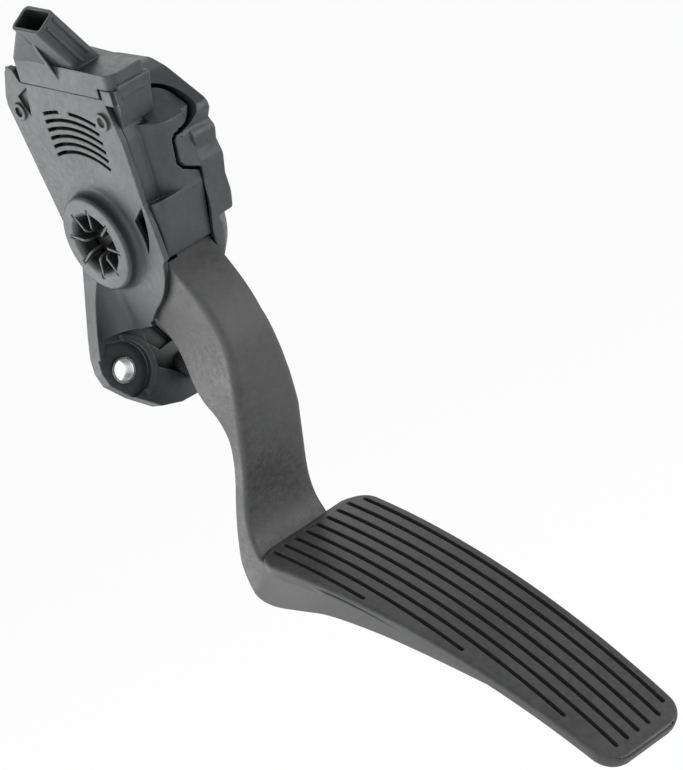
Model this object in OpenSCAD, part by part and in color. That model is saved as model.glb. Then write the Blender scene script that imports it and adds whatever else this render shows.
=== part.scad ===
// Accelerator pedal module. Millimetres. The mounting face lies on Y = 0, +Y points into the bulkhead,
// +Z is up, and the origin is on the axis of the lower mounting sleeve.
// Inside at_pivot() all places are measured from the pedal's pivot axis, which runs along X.

/* [Mounting] */
// Distance from the mounting face to the pivot axis
pivot_setback = 25; // [24:0.5:28]
// Height of the pivot axis above the lower sleeve
pivot_rise = 52; // [51:0.5:54]
// Bore of a mounting sleeve
sleeve_bore = 8.8; // [8.2:0.1:9.2]
// Wall of a mounting sleeve
sleeve_wall = 0.8; // [0.6:0.1:1]
// Length of a mounting sleeve
sleeve_len = 6.6; // [6:0.1:7.4]
// Upper sleeve, sideways from the lower one
upper_x = 29; // [28:0.5:30]
// Upper sleeve, height above the pivot axis
upper_z = 40; // [39:0.5:41]
// Thickness of the back wall
back_t = 3.5; // [3:0.1:4]

/* [Cheek plate] */
// Place of the left face of the cheek plate
cheek_x = 7.5; // [7:0.1:8]
// Thickness of the cheek plate
cheek_t = 2.3; // [1.8:0.1:2.3]
// Height of the round boss above the cheek plate
boss_h = 5.5; // [4.5:0.1:6]
// Outer radius of the round boss
boss_r = 19.8; // [19:0.1:21]
// Radius at which the star slits end
star_r = 15.2; // [14:0.1:15.6]
// Number of star slits
star_n = 8; // [6:1:10]
// Width of a star slit
star_w = 0.9; // [0.6:0.1:1.4]
// Number of louvres
louvre_n = 6; // [4:1:6]
// Radius of the lowest louvre round the pivot
louvre_r = 37; // [36.5:0.1:38]
// Pitch of the louvres
louvre_pitch = 3.35; // [3.2:0.05:3.4]
// Width of a louvre slot
louvre_w = 1.5; // [1:0.1:1.8]

/* [Pedal arm] */
// Width of the arm where it leaves the housing
arm_w = 23; // [22:0.1:23]
// Radius of the curved arm head that closes the housing's mouth
head_r = 31; // [30.5:0.1:31.2]
// Outer radius of the hub
hub_r = 13; // [12:0.1:13.5]
// Outer radius of the hub's left journal, inside the round boss
journal_r = 16.9; // [16:0.1:17]
// Outer radius of the hub's right journal, in the spring cover
stub_r = 7; // [6:0.1:7.5]
// Travel of the pedal in degrees
travel = 15; // [10:0.5:15]
// Wall of the hollow back of the arm
arm_wall = 3; // [2.5:0.1:4]
// Thickness of the spring lever
lever_t = 7; // [6:0.1:8]

/* [Pad] */
// Radius of the curved tread in side view
tread_r = 344.6; // [300:1:420]
// Width of the pad at its upper end
pad_w = 58; // [54:0.5:62]
// Width of the pad at its lower end
pad_foot_w = 42; // [38:0.5:46]
// Length of the pad along the tread
pad_len = 180; // [170:1:190]
// Thickness of the pad
pad_t = 5; // [4:0.1:6]
// Corner radius of the pad
pad_corner = 10; // [7:0.5:12]
// Number of grooves in the tread
groove_n = 9; // [7:1:9]
// Pitch of the grooves
groove_pitch = 5.72; // [5.2:0.02:5.8]
// Width of a groove
groove_w = 2; // [1.2:0.1:2.4]
// Depth of a groove
groove_d = 1.6; // [1:0.1:2.5]

/* [Covers] */
// Wall of the front cover and the spring cover
cover_t = 1.8; // [1.5:0.1:2]
// Outer side of the spring cover
cover_x = 44; // [43.5:0.1:46]
// Gap between parts that meet at a seam
seam = 0.3; // [0.2:0.05:0.4]
// Inner radius of the spring cover's round lip
lip_r = 10.5; // [9.5:0.1:10.8]
// Open gap along the round lip
lip_gap = 1.8; // [1.4:0.1:2.2]
// Open gap round the spring cover's tab
tab_gap = 1.2; // [0.8:0.1:1.4]

/* [Sensor cap] */
// Slope of the cap in degrees
cap_slope = 15; // [14:0.5:16]
// Height of the cap across its slope
cap_h = 10.4; // [10:0.1:11.5]
// Width of the cap
cap_w = 16.2; // [15.8:0.1:17]
// Length of the cap along its slope
cap_len = 60; // [59:0.5:61]
// Lean of the connector socket in degrees
plug_lean = 30; // [26:1:32]
// Outer length of the socket's mouth
plug_l = 18; // [17:0.1:19]
// Outer width of the socket's mouth
plug_w = 11; // [10.4:0.1:11.6]
// Wall of the socket
plug_t = 1.3; // [1.1:0.1:1.5]
// Length of the socket along its middle
plug_h = 26; // [24:0.5:28]

/* [Bearings and springs] */
// Radial running clearance of a journal in its bush
run_gap = 0.05; // [0.02:0.01:0.08]
// Wall of a bush
bush_t = 1.2; // [1:0.1:1.3]
// Outer radius of the outer spring
spring_r = 5.8; // [5.4:0.1:6]
// Wire diameter of the outer spring
wire_d = 1.6; // [1.2:0.1:1.8]
// Turns of the outer spring
spring_turns = 8; // [6:1:9]
// Outer radius of the inner spring
inner_r = 3.6; // [3.2:0.1:3.8]
// Wire diameter of the inner spring
inner_wire_d = 1.1; // [0.8:0.1:1.2]
// Turns of the inner spring
inner_turns = 11; // [8:1:12]
// Place of the springs across the housing
spring_x = 35; // [34.5:0.1:35.5]
// Height of the springs above the pivot axis
spring_z = 22; // [21.5:0.1:22.5]

/* [Sensor] */
// Thickness of the sensor board
board_t = 1.6; // [1.2:0.1:1.6]
// Side of a magnet
magnet_a = 5; // [4:0.1:6]
// Width of a terminal blade
pin_w = 1; // [0.8:0.1:1.2]

/* [Hidden] */

eps = 0.01;
black = [0.13, 0.13, 0.14];
cheek_in = cheek_x + cheek_t;
face_x = cheek_x - boss_h;
arm_gap = 0.3;
arm_x0 = cheek_in + arm_gap;
arm_x1 = arm_x0 + arm_w;
seam_x = arm_x1 + arm_gap;
cover_in = cover_x - cover_t;
back_y = pivot_setback - back_t;
sleeve_r = sleeve_bore / 2 + sleeve_wall;
sleeve_y = pivot_setback - sleeve_len;
bush_l_r = journal_r + run_gap + bush_t;
bush_r_r = stub_r + run_gap + bush_t;
spring_y0 = -43.4;
washer_x = arm_x1 + 0.3;
lever_y0 = -4;
seat_t = 2.4;
stop_y = lever_y0 + lever_t + seam;
// Places of the cover screws in side view
screw_at = [[15, 58.5], [15, -20.5]];
screw_r = 1.6;
screw_head_r = 3;
screw_head_t = 2;
post_r = 3.4;
post_end = cover_x - 6;
// Front of the mounting ear, radius of its flare and of the pocket round the sleeve
ear_y = 17.5;
flare_r = 10;
pocket_r = 11.4;
funnel_r = 10.6;
// Column of the front wall, where the wall slopes back, and where the spring cover's lip ends
column_x = 26.5;
column_r = 11.5;
shoulder_x = 20;
lip_y = -33.5;
// The bumper that stops the arm at the end of its travel
full_stop_x = 27;
full_stop_z = -63;
full_stop_y = -7.7 * cos(travel) + 68 * sin(travel) + 0.3;

// Moves its children from the pivot axis to the part's frame
module at_pivot() {
    translate([0, -pivot_setback, pivot_rise]) children();
}

// A side view outline in Y and Z, drawn out along X
module slab(x0, x1) {
    translate([x0, 0, 0]) rotate([90, 0, 90]) linear_extrude(x1 - x0) children();
}

// A front view outline in X and Z, drawn out along Y
module sheet(y0, y1) {
    translate([0, y1, 0]) rotate([90, 0, 0]) linear_extrude(y1 - y0) children();
}

// A round rod along X
module rod_x(x0, x1, r) {
    translate([x0, 0, 0]) rotate([0, 90, 0]) cylinder(r = r, h = x1 - x0, $fn = 96);
}

// A round rod along Y
module rod_y(y0, y1, r) {
    translate([0, y0, 0]) rotate([-90, 0, 0]) cylinder(r = r, h = y1 - y0, $fn = 64);
}

// Moves its children to a height above the pivot axis and a place across the housing
module place(x, z) {
    translate([x, 0, z]) children();
}

// Points of an arc round the pivot, angles measured from +Z towards the front
function arc(r, a0, a1, n) =
    [for (i = [0:n]) let (a = a0 + (a1 - a0) * i / n) [-r * sin(a), r * cos(a)]];

// Height of the sloping seam between cheek and cap
function seam_z(y) = 65.5 + tan(cap_slope) * y;
// Front face of the upper front wall at a height
function wall_y(z) = -35 - 0.27 * (z - 10.5);
// Front face of the front block at a height
function block_y(z) = -36.8 - 0.5 * z;

// Side view outline of the cheek plate
module cheek_outline() {
    polygon(concat(
        [[pivot_setback, -38.5], [24.3, 60], [22.8, 63.8], [15.6, 73.2], [12.6, 74.8], [10, 73.2], [8.8, 68.2],
         [8, seam_z(8)], [-42.5, seam_z(-42.5)], [-42, 36], [-36.2, 10.5], [-35.4, 0], [-33, -12.6]],
        arc(33.6, 115, 160, 12),
        [[-4.5, -36.2], [3, -38.5]]));
}

// Lens shaped slot in the cheek plate in front of the round boss
module cheek_slot() {
    slab(cheek_x - 1, cheek_in + 1) polygon(concat([[-34.3, 9.9], [-30, 7.6]], arc(boss_r + 5.9, 79, 111, 8),
        [[-27, -6.4], [-29.6, -2.6], [-31.5, 1.1], [-33, 5.2]]));
}

// Shallow three cornered recess beside the rear ring boss
module cheek_recess() {
    slab(cheek_x - 1, cheek_x + 1.3) polygon([[5.4, 65.4], [14.2, 62.6], [13.6, 59], [11.4, 54]]);
}

module ring_boss(y, z) {
    translate([cheek_x - 1, y, z]) rotate([0, 90, 0]) difference() {
        cylinder(r = 3.6, h = 2, $fn = 48);
        translate([0, 0, -eps]) cylinder(r = 2.1, h = 1.6, $fn = 48);
    }
}

// The boss is a ring with a rounded, funnel shaped mouth
module boss() {
    rotate([0, 90, 0]) rotate_extrude($fn = 96) polygon(concat(
        [for (a = [0:15:90]) [star_r - 1 - 2.8 * sin(a), face_x + 3.6 - 3.6 * cos(a)]],
        [[funnel_r, face_x + 7], [funnel_r + 1.2, face_x + 7]],
        [for (a = [90:-15:0]) [star_r - 1 - 1.5 * sin(a), face_x + 4 - 2.6 * cos(a)]],
        [[bush_l_r + 0.02, face_x + 1.4], [bush_l_r + 0.02, cheek_in], [boss_r + 2.6, cheek_in]],
        [for (a = [90:-15:0]) [boss_r + 2.6 - 2.6 * cos(a), cheek_x - 2.6 + 2.6 * sin(a)]],
        [for (a = [75:-15:0]) [boss_r - 1.6 + 1.6 * sin(a), face_x + 1.6 - 1.6 * cos(a)]]));
}

// Notches in the funnel's lip, one at each blade
module star_notches() {
    for (i = [0:star_n - 1]) rotate([19.8 + i * 360 / star_n, 0, 0])
        translate([face_x - 1, star_r - 5, -star_w]) cube([2.1, 5, star_w * 2]);
}

// Thin blades that stand in the funnel with their edges flush with the boss
module star_blades() {
    for (i = [0:star_n - 1]) rotate([19.8 + i * 360 / star_n, 0, 0])
        translate([0, 0, -star_w / 2]) linear_extrude(star_w) polygon([[face_x + 0.2, star_r + 0.3],
            [face_x + 0.2, 7.2], [face_x + 0.8, 6.1], [face_x + 1.8, 5.4], [face_x + 3.4, 5],
            [face_x + 6.6, 5], [face_x + 6.6, funnel_r + 0.3], [face_x + 2.6, star_r - 2],
            [face_x + 1.2, star_r + 0.3]]);
}

// One louvre between two angles round the pivot
module louvre(r, a0, a1) {
    slab(cheek_x - 1, cheek_in + 1)
        polygon(concat(arc(r + louvre_w / 2, a0, a1, 20), arc(r - louvre_w / 2, a1, a0, 20)));
}

module louvres() {
    for (i = [0:louvre_n - 2]) louvre(louvre_r + i * louvre_pitch, -9.5 + i * 1.4, 44 - i * 2.1);
    // The top louvre is interrupted
    louvre(louvre_r + (louvre_n - 1) * louvre_pitch, -2.5, 9);
    louvre(louvre_r + (louvre_n - 1) * louvre_pitch, 16, 33.5);
}

// Left edge of ear and back wall in front view
left_edge = [[cheek_x, -8], [-4.8, -35], [-8, -43], [-9, -49], [-8, -55], [-1.2, -63.5], [8, -72], [17, -74.8]];

module ear_outline() {
    polygon(concat(left_edge, [[27, -75.3], [24, -66], [14.2, -58], [14.2, -42], [cheek_in, -38]]));
}

module back_outline() {
    polygon(concat(left_edge, [[27, -75.3], [36, -71], [40, -40], [42, -10], [42, 50], [36, 62], [14, 73.5],
        [9, 62]]));
}

// Concave flare from the cheek plate out to the ear
module flare() {
    difference() {
        sheet(-3, pivot_setback) polygon([[cheek_in, -18], [cheek_x, -8], [-4.8, -35], [-5.6, -37],
            [cheek_in, -38.5]]);
        translate([cheek_x - flare_r, ear_y - flare_r, -60]) cylinder(r = flare_r, h = 60, $fn = 96);
        translate([-20, -30, -60]) cube([20 + cheek_x - flare_r, 30 + ear_y, 60]);
        translate([-20, -30, -60]) cube([20 + cheek_x, 30 + ear_y - flare_r, 60]);
        rod_x(0, 20, boss_r - 0.4);
    }
}

// Round wall of the pocket, on the side away from the ear's rim
module pocket_wall() {
    intersection() {
        place(0, -pivot_rise) rod_y(ear_y - 1, pivot_setback, pocket_r + 2.6);
        translate([4, 0, -80]) cube([20, 30, 50]);
    }
}

// Pocket round the lower sleeve, which follows the ear's rim
module ear_pocket() {
    place(0, -pivot_rise) rod_y(5, sleeve_y + 1, pocket_r);
    sheet(5, sleeve_y + 1) polygon([[-3.2, -39], [-6.2, -44], [-7, -49], [-6.2, -54.2], [0, -61.8],
        [5.4, -62.2], [2, -52], [2, -41]]);
    // Dark recess in the back wall beside the ear
    sheet(5, pivot_setback - 0.9) polygon([[15.4, -42.8], [22.4, -41.4], [27.4, -52.6], [20.2, -53.2],
        [15.4, -47]]);
}

// Posts that the spring cover is screwed to
module screw_posts() {
    for (s = screw_at) translate([0, s[0], s[1]]) difference() {
        rod_x(cheek_in - eps, post_end, post_r);
        rod_x(post_end - 10, post_end + 1, screw_r + 0.02);
    }
}

module housing() {
    color(black) at_pivot() {
        difference() {
            union() {
                slab(cheek_x, cheek_in) difference() {
                    cheek_outline();
                    circle(r = boss_r, $fn = 96);
                }
                boss();
                sheet(back_y, pivot_setback) back_outline();
                sheet(ear_y, pivot_setback) ear_outline();
                flare();
                pocket_wall();
                ring_boss(17.2, 56.6);
                ring_boss(-35.8, 45.9);
                place(upper_x, upper_z) rod_y(sleeve_y - 2.4, pivot_setback, 8.5);
                place(spring_x, spring_z) rod_y(stop_y + 8, pivot_setback, 4.5);
                screw_posts();
                shoe_holder();
                // Rails that carry the sensor board
                for (z = [24, 52]) slab(cheek_in - eps, cheek_in + 0.8) polygon([[-26, z], [4, z], [4, z + 1.5],
                    [-26, z + 1.5]]);
            }
            star_notches();
            louvres();
            cheek_recess();
            cheek_slot();
            ear_pocket();
            place(0, -pivot_rise) rod_y(5, pivot_setback + 1, sleeve_r + 0.02);
            place(upper_x, upper_z) rod_y(sleeve_y, pivot_setback + 1, sleeve_r + 0.02);
            place(full_stop_x, full_stop_z) rod_y(5, back_y + 1.5, 5.02);
        }
        star_blades();
    }
}

// Rib on the back wall that backs the friction shoe
module shoe_holder() {
    slab(18, 26) difference() {
        polygon([[hub_r, 2], [back_y + eps, 2], [back_y + eps, 12], [8.5, 14]]);
        circle(r = hub_r + 3.1, $fn = 96);
    }
}

module sleeve() {
    difference() {
        rod_y(sleeve_y, pivot_setback, sleeve_r);
        rod_y(sleeve_y - 1, pivot_setback + 1, sleeve_bore / 2);
    }
}

module lower_sleeve() {
    color("silver") at_pivot() place(0, -pivot_rise) sleeve();
}

module upper_sleeve() {
    color("silver") at_pivot() place(upper_x, upper_z) sleeve();
}

// The front block under the ridge, smaller all round by inset
module front_block(inset) {
    hull() for (z = [-13, 9]) {
        low = z < 0 ? z - inset * 2 : z - inset;
        r = z < 0 ? 2 : 5;
        translate([arm_x0 + r, block_y(low) + r + inset * 0.12, low]) cylinder(r = r - inset, h = 0.5, $fn = 32);
        translate([arm_x0 + inset, -22, low]) cube([1, 1, 0.5]);
        translate([seam_x - 1 + inset * 2, block_y(low) + inset * 1.12, low]) cube([1, 5, 0.5]);
        translate([seam_x - 1 + inset * 2, -22, low]) cube([1, 1, 0.5]);
    }
}

// Rounded column in the front wall, with its round shoulder behind the spring cover's lip, smaller by inset
module column(inset) {
    intersection() {
        union() {
            translate([column_x, wall_y(12) + 6.8, 6]) rotate([15, 0, 0]) {
                cylinder(r = column_r - inset, h = 36, $fn = 96);
                translate([0, inset - column_r, 0]) cube([seam_x - column_x, column_r, 36]);
            }
            place(upper_x, upper_z) rod_y(-47.2, -36, lip_r - lip_gap - inset);
        }
        // The shoulder slopes back above the ridge
        slab(0, 60) polygon([[-28, 8], [-60, 8], [-60, 26], [-48 + inset, 36.6 - inset / 2],
            [-42.2 + inset, 41.3 - inset / 2], [-37 + inset, 50], [-28, 50]]);
    }
}

// Side view of the front wall, and of its part behind the lip, where it slopes back
module wall_outline(inset) {
    polygon([[wall_y(8) + inset, 8], [wall_y(36) + inset, 36], [-43 + inset, 52], [-43 + inset, 53.6],
        [-27, 53.6], [-27, 8]]);
}

module shoulder_outline(inset) {
    polygon([[wall_y(8) + inset, 8], [wall_y(36) + inset, 36], [-42.2 + inset, 41.3 - inset / 2],
        [-37 + inset * 1.2, 50], [-27, 50], [-27, 8]]);
}

// The round lip of the spring cover, which stands proud of the column in its right half
module lip(grow) {
    intersection() {
        place(upper_x, upper_z) rod_y(-60, lip_y + grow, lip_r + cover_t + grow);
        translate([upper_x + seam - grow, -70, 0]) cube([40, 60, 90]);
    }
}

// The spring cover's tab beside the column, larger all round by grow
module spring_tab(grow) {
    intersection() {
        sheet(-60, -34 + grow) offset(delta = grow) polygon([[25.3, 19.6], [26.7, 17.3],
            [seam_x + eps, 13.9], [seam_x + eps, 29.4], [27.4, 29.4], [26.2, 28.2]]);
        slab(20, 60) polygon([[-47.8 - grow, 32], [-44.6 - grow, 12], [-30, 12], [-30, 32]]);
    }
}

module front_cover() {
    color(black) at_pivot() difference() {
        union() {
            difference() {
                front_block(0);
                front_block(cover_t);
            }
            difference() {
                union() {
                    slab(arm_x0, shoulder_x) wall_outline(0);
                    slab(shoulder_x - eps, seam_x - seam) shoulder_outline(0);
                    column(0);
                }
                slab(arm_x0 + cover_t, shoulder_x - cover_t) wall_outline(cover_t);
                slab(shoulder_x - cover_t - eps, seam_x + 1) shoulder_outline(cover_t);
                column(cover_t);
            }
        }
        spring_tab(tab_gap);
        // Window for the springs
        place(spring_x, spring_z) rod_y(-60, -10, spring_r + 1);
        // Beside the shoulder the wall ends at the spring cover
        difference() {
            translate([seam_x - seam, -60, -20]) cube([20, 60, 90]);
            place(upper_x, upper_z) rod_y(-60, -20, lip_r - lip_gap + 0.05);
        }
        // Gap along the lip
        difference() {
            lip(seam);
            place(upper_x, upper_z) rod_y(-70, -20, lip_r - lip_gap);
        }
        slab(arm_x0 - 1, 60) polygon([[-60, seam_z(-60) - seam], [-10, seam_z(-10) - seam], [-10, 80],
            [-60, 80]]);
        rod_x(arm_x0 - 1, 50, head_r + 0.6);
    }
}

// Side view outline of the spring cover
module spring_cover_outline() {
    polygon(concat([[back_y, 66], [-8, 61.4], [-26.5, 57], [-34, 52.5], [-50.5, 37], [-51, 33.5], [-47, 29.5],
        [-48.5, 25.5], [-45.5, 20.5], [-45.5, 14.5], [-41, 6.5], [-39, -1], [-32.5, -12]],
        arc(34.7, 112, 180, 14), [[back_y, -38]]));
}

// Outline of the spring cover's hollow
module cover_hollow_outline() {
    polygon([[back_y + 1, 63.5], [-8, 59.3], [-26, 54.8], [-33, 50.5], [-47, 36.6], [-47, 34], [-43.4, 29],
        [-43.4, 14.5], [-37, -1], [-30, -12], [-24, -23.5], [-14, -30], [0, -32.7], [back_y + 1, -35.8]]);
}

module spring_cover() {
    color(black) at_pivot() difference() {
        union() {
            difference() {
                slab(seam_x, cover_x) spring_cover_outline();
                difference() {
                    slab(seam_x - 1, cover_in) cover_hollow_outline();
                    bottom_chamfer(cover_t);
                }
            }
            lip_ring();
            spring_tab(0);
            cover_roof();
            rod_x(washer_x + 1.1, cover_x, bush_r_r + 2);
            for (s = screw_at) translate([0, s[0], s[1]]) rod_x(post_end + seam, cover_x, screw_head_r + 1.4);
        }
        rod_x(30, cover_in, bush_r_r + 0.02);
        place(upper_x, upper_z) rod_y(-80, lip_y + 1, lip_r);
        place(spring_x, spring_z) rod_y(spring_y0, -20, spring_r + 0.6);
        for (s = screw_at) translate([0, s[0], s[1]]) {
            rod_x(30, cover_x + 1, screw_r + 0.02);
            rod_x(cover_x - screw_head_t, cover_x + 1, screw_head_r + 0.1);
        }
        bottom_chamfer(0);
    }
}

// Cutter for the chamfer along the spring cover's bottom, deeper by grow
module bottom_chamfer(grow) {
    intersection() {
        translate([cover_x, 0, 0]) rotate([0, 90, 0]) rotate_extrude($fn = 96)
            polygon([[28.5 - grow, 1], [40, 1], [40, -9.5], [37.4 - grow, -9.5]]);
        translate([20, -45, -60]) cube([40, 90, 52]);
    }
}

// Roof of the spring cover, which reaches over to the side of the sensor cap
module cover_roof() {
    intersection() {
        slab(20, seam_x + eps) polygon([[-34, 52.5], [-26.5, 57], [-8, 61.4], [back_y, 66], [back_y, 64.1],
            [-8, 59.5], [-26, 55.1], [-33, 50.8]]);
        linear_extrude(80) polygon([[cheek_x + cap_w + 0.7, -50], [cheek_x + cap_w + 3.7, 8],
            [cheek_x + cap_w + 3.7, back_y], [seam_x + eps, back_y], [seam_x + eps, -50]]);
    }
}

// The lip's wall, trimmed to the spring cover's outline
module lip_ring() {
    intersection() {
        lip(0);
        slab(20, 60) spring_cover_outline();
    }
}

// Moves its children to the rear left end of the cap's underside, sloping with it
module on_cap() {
    translate([cheek_x, 7.5, seam_z(7.5) + seam]) rotate([cap_slope, 0, 0]) children();
}

// Moves its children to the root of the connector socket, leaning with it
module on_plug() {
    translate([7.4, -30.2, cap_h]) rotate([0, -plug_lean, 0]) children();
}

module rounded_rect(w, l, r) {
    hull() for (x = [-1, 1]) for (y = [-1, 1]) translate([x * (w / 2 - r), y * (l / 2 - r)])
        circle(r = r, $fn = 24);
}

// The connector socket's body
module plug() {
    translate([0, 0, -4]) linear_extrude(plug_h + 4) rounded_rect(plug_w, plug_l, 2.6);
    // Guide ribs on the front face
    for (x = [-2, 2.4]) translate([x, -plug_l / 2 - 0.7, 3]) cube([1, 1.4, plug_h - 4.5]);
}

module sensor_cap() {
    color(black) at_pivot() on_cap() difference() {
        union() {
            difference() {
                union() {
                    cap_block(0);
                    latch();
                }
                cap_block(cover_t);
            }
            intersection() {
                on_plug() plug();
                translate([-40, -cap_len, cap_h - 4]) cube([80, cap_len, 60]);
            }
            gussets();
        }
        on_plug() translate([0, 0, 5]) linear_extrude(plug_h) rounded_rect(plug_w - 2 * plug_t,
            plug_l - 2 * plug_t, 1.4);
        pin_rows(0.03);
        // Notch between the side band and the hook
        translate([-1, -cap_len + 7.8, -1]) cube([2.6, 2.2, 5.2]);
    }
}

// The cap's box with its rounded front left corner, or its hollow if inset is above zero
module cap_block(inset) {
    translate([0, 0, inset > 0 ? -1 : 0]) linear_extrude(cap_h - inset + (inset > 0 ? 1 : 0)) hull() {
        translate([inset, -inset]) mirror([0, 1]) square([cap_w - 2 * inset + 3.2, 1]);
        translate([5, -cap_len + 5]) circle(r = 5 - inset, $fn = 48);
        translate([cap_w - 1 - inset, -cap_len + inset]) square([1, 1]);
    }
}

// Webs that carry the leaning socket on the cap
module gussets() {
    hull() {
        translate([0, -1.4, cap_h - 1]) cube([1.4, 1.4, 1]);
        translate([1, -24, cap_h - 1]) cube([1.4, 1.4, 1]);
        on_plug() translate([-plug_w / 2, plug_l / 2 - 4, plug_h - 2]) cube([1.4, 1.4, 1]);
    }
    hull() {
        translate([0, -26.5, cap_h - 6]) cube([1, 2, 6]);
        on_plug() translate([-plug_w / 2, 3.7, 16]) cube([1, 2, 1]);
        on_plug() translate([-plug_w / 2 + 0.5, 3.7, 0]) cube([1, 2, 1]);
    }
}

// Front latch in the cap's sloping frame: a wedge over the front wall, and a hook at the cap's corner
module latch() {
    slab(2.4, 17.8) polygon([[-cap_len - 0.6, 5.6], [-cap_len - 1, 4.8], [-cap_len + 4.1, -12.2],
        [-cap_len + 4.8, -12.4], [-cap_len + 6.7, -2.2], [-cap_len + 6.7, 5.6]]);
    translate([-0.4, -cap_len + 1.6, -2.2]) cube([1.6, 6, 6.2]);
    translate([0.8, -cap_len - 0.4, -2.2]) cube([2, 3, 6.2]);
}

module pin_rows(grow) {
    for (i = [0:2]) for (j = [0:1]) on_plug()
        translate([(j - 0.5) * 3.6 - pin_w / 2 - grow, (i - 1) * 4 - 0.4 - grow, -2])
            cube([pin_w + 2 * grow, 0.8 + 2 * grow, 15]);
}

module terminals() {
    color("gold") at_pivot() on_cap() pin_rows(0);
}

// Centre of the tread's curve, which leaves the pad's upper edge in its place
tread_y = -5.46 + tread_r * sin(19.7);
tread_z = -137.79 - tread_r * cos(19.7);
pad_x1 = 60;

// Angle on the tread for a length along it from the upper edge
function tread_a(s) = 19.7 + s / tread_r * 180 / PI;
// A point on the tread, or under it by depth
function tread_p(s, depth = 0) =
    [tread_y - (tread_r - depth) * sin(tread_a(s)), tread_z + (tread_r - depth) * cos(tread_a(s))];

module pedal_arm() {
    color(black) at_pivot() difference() {
        union() {
            difference() {
                arm_body();
                arm_hollows();
            }
            rod_x(arm_x0 + 0.2, arm_x1, hub_r);
            rod_x(face_x + 2.2, arm_x0 + 2.5, journal_r);
            rod_x(arm_x1 - 1, cover_in - 0.3, stub_r);
            lever();
            pad();
        }
        rod_x(face_x, arm_x0 + 1, journal_r - 2.2);
        grooves();
    }
}

// Cells in the back of the arm, open to the rear, with ribs left between them
module arm_hollows() {
    cells = [[[-6, -42], [-12, -40], [-33, -42], [-38, -50], [-36.5, -60], [4, -60]],
        [[4, -62], [-35.5, -62], [-31, -70], [-26.5, -79], [0, -79]],
        [[4, -81], [-25.5, -81], [-16, -97], [-11, -105.5], [4, -105.5]],
        [[14, -107.5], [-10, -107.5], [-4.6, -117], [0, -129], [14, -129]]];
    mid = arm_x0 + arm_wall + (arm_w - 2 * arm_wall - 2) / 2;
    for (c = cells) {
        slab(arm_x0 + arm_wall, mid) polygon(c);
        slab(mid + 2, arm_x1 - arm_wall) polygon(c);
    }
    // The head is set back behind the slot in the cheek plate
    slab(arm_x0 - 1, arm_x0 + 6) polygon([[-33, 4], [-33, -12.5], [-26, -16], [-14, -16], [-14, 4]]);
}

// An outline with its corners cut twice as often, which keeps both ends
function soften(p) = concat([p[0]], [for (i = [0:len(p) - 2]) each
    [p[i] * 0.75 + p[i + 1] * 0.25, p[i] * 0.25 + p[i + 1] * 0.75]], [p[len(p) - 1]]);

module arm_body() {
    intersection() {
        slab(0, 50) polygon(concat(
            arc(head_r, 116, 86, 9),
            [[0, 0]],
            soften([[-3.4, -35], [-8.6, -50], [-7.3, -66], [-9, -74], [-13.5, -81], [-14, -90], [-7, -105],
                [5, -128], [9, -147], [9, -156], [3, -161], tread_p(37, 15.4), tread_p(65, 12.4),
                tread_p(95.5, 9.9), tread_p(126.5, 6.4)]),
            [tread_p(126, 4.5), tread_p(90, 4.5), tread_p(50, 1), tread_p(20, 1), tread_p(2, 1)],
            soften([[-4.5, -130], [-8.5, -116.6], [-20.7, -95], [-30, -79], [-36, -67.6], [-41, -57.6],
                [-42.5, -48.5], [-40, -34.6], [-35, -24]])));
        sheet(-140, 40) polygon([[arm_x0, 40], [arm_x0, -105], [4, -140], [4, -155], [12, -190], [14, -210],
            [40, -210], [42, -180], [42, -95], [39, -75], [35.5, -60], [arm_x1, -48], [arm_x1, 40]]);
    }
}

// Lever above the hub that the springs push
module lever() {
    top = spring_z + 4.9;
    back = lever_y0 + lever_t;
    slab(spring_x - 6.5, arm_x1) polygon([[lever_y0, 0], [back, 0], [back, top], [lever_y0, top]]);
    slab(arm_x1 - eps, spring_x + 6.2) polygon([[lever_y0, bush_r_r + 3.2], [back, bush_r_r + 3.2], [back, top],
        [lever_y0, top]]);
}

module pad() {
    intersection() {
        slab(0, 70) polygon(concat([for (i = [0:24]) tread_p(i * pad_len / 24)],
            [for (i = [24:-1:0]) tread_p(i * pad_len / 24, pad_t)]));
        translate([0, tread_p(0)[0], tread_p(0)[1]]) rotate([180 + 35, 0, 0]) translate([0, 0, -40])
            linear_extrude(80) hull() {
                translate([pad_x1 - pad_w + pad_corner, pad_corner]) circle(r = pad_corner, $fn = 32);
                translate([pad_x1 - pad_corner, pad_corner]) circle(r = pad_corner, $fn = 32);
                translate([pad_x1 - pad_foot_w + pad_corner, pad_len - 2 - pad_corner])
                    circle(r = pad_corner, $fn = 32);
                translate([pad_x1 - pad_corner, pad_len - 2 - pad_corner]) circle(r = pad_corner, $fn = 32);
            }
    }
}

module grooves() {
    ends = [55, 101, 151, 172, 173, 173, 173, 173, 167];
    for (i = [0:groove_n - 1]) slab(10 + i * groove_pitch - groove_w / 2, 10 + i * groove_pitch + groove_w / 2)
        polygon(concat([for (k = [0:20]) tread_p(4 + (ends[i] - 4) * k / 20, groove_d)],
            [for (k = [20:-1:0]) tread_p(4 + (ends[i] - 4) * k / 20, -3)]));
}

module ring_x(x0, x1, r0, r1) {
    difference() {
        rod_x(x0, x1, r1);
        rod_x(x0 - 1, x1 + 1, r0);
    }
}

module bush_left() {
    color("ivory") at_pivot() ring_x(face_x + 2, cheek_in, journal_r + run_gap, bush_l_r);
}

module bush_right() {
    color("ivory") at_pivot() ring_x(washer_x + 1.3, cover_in, stub_r + run_gap, bush_r_r);
}

module thrust_washer() {
    color("silver") at_pivot() ring_x(washer_x, washer_x + 1, stub_r + run_gap, bush_r_r + 1.8);
}

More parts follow.
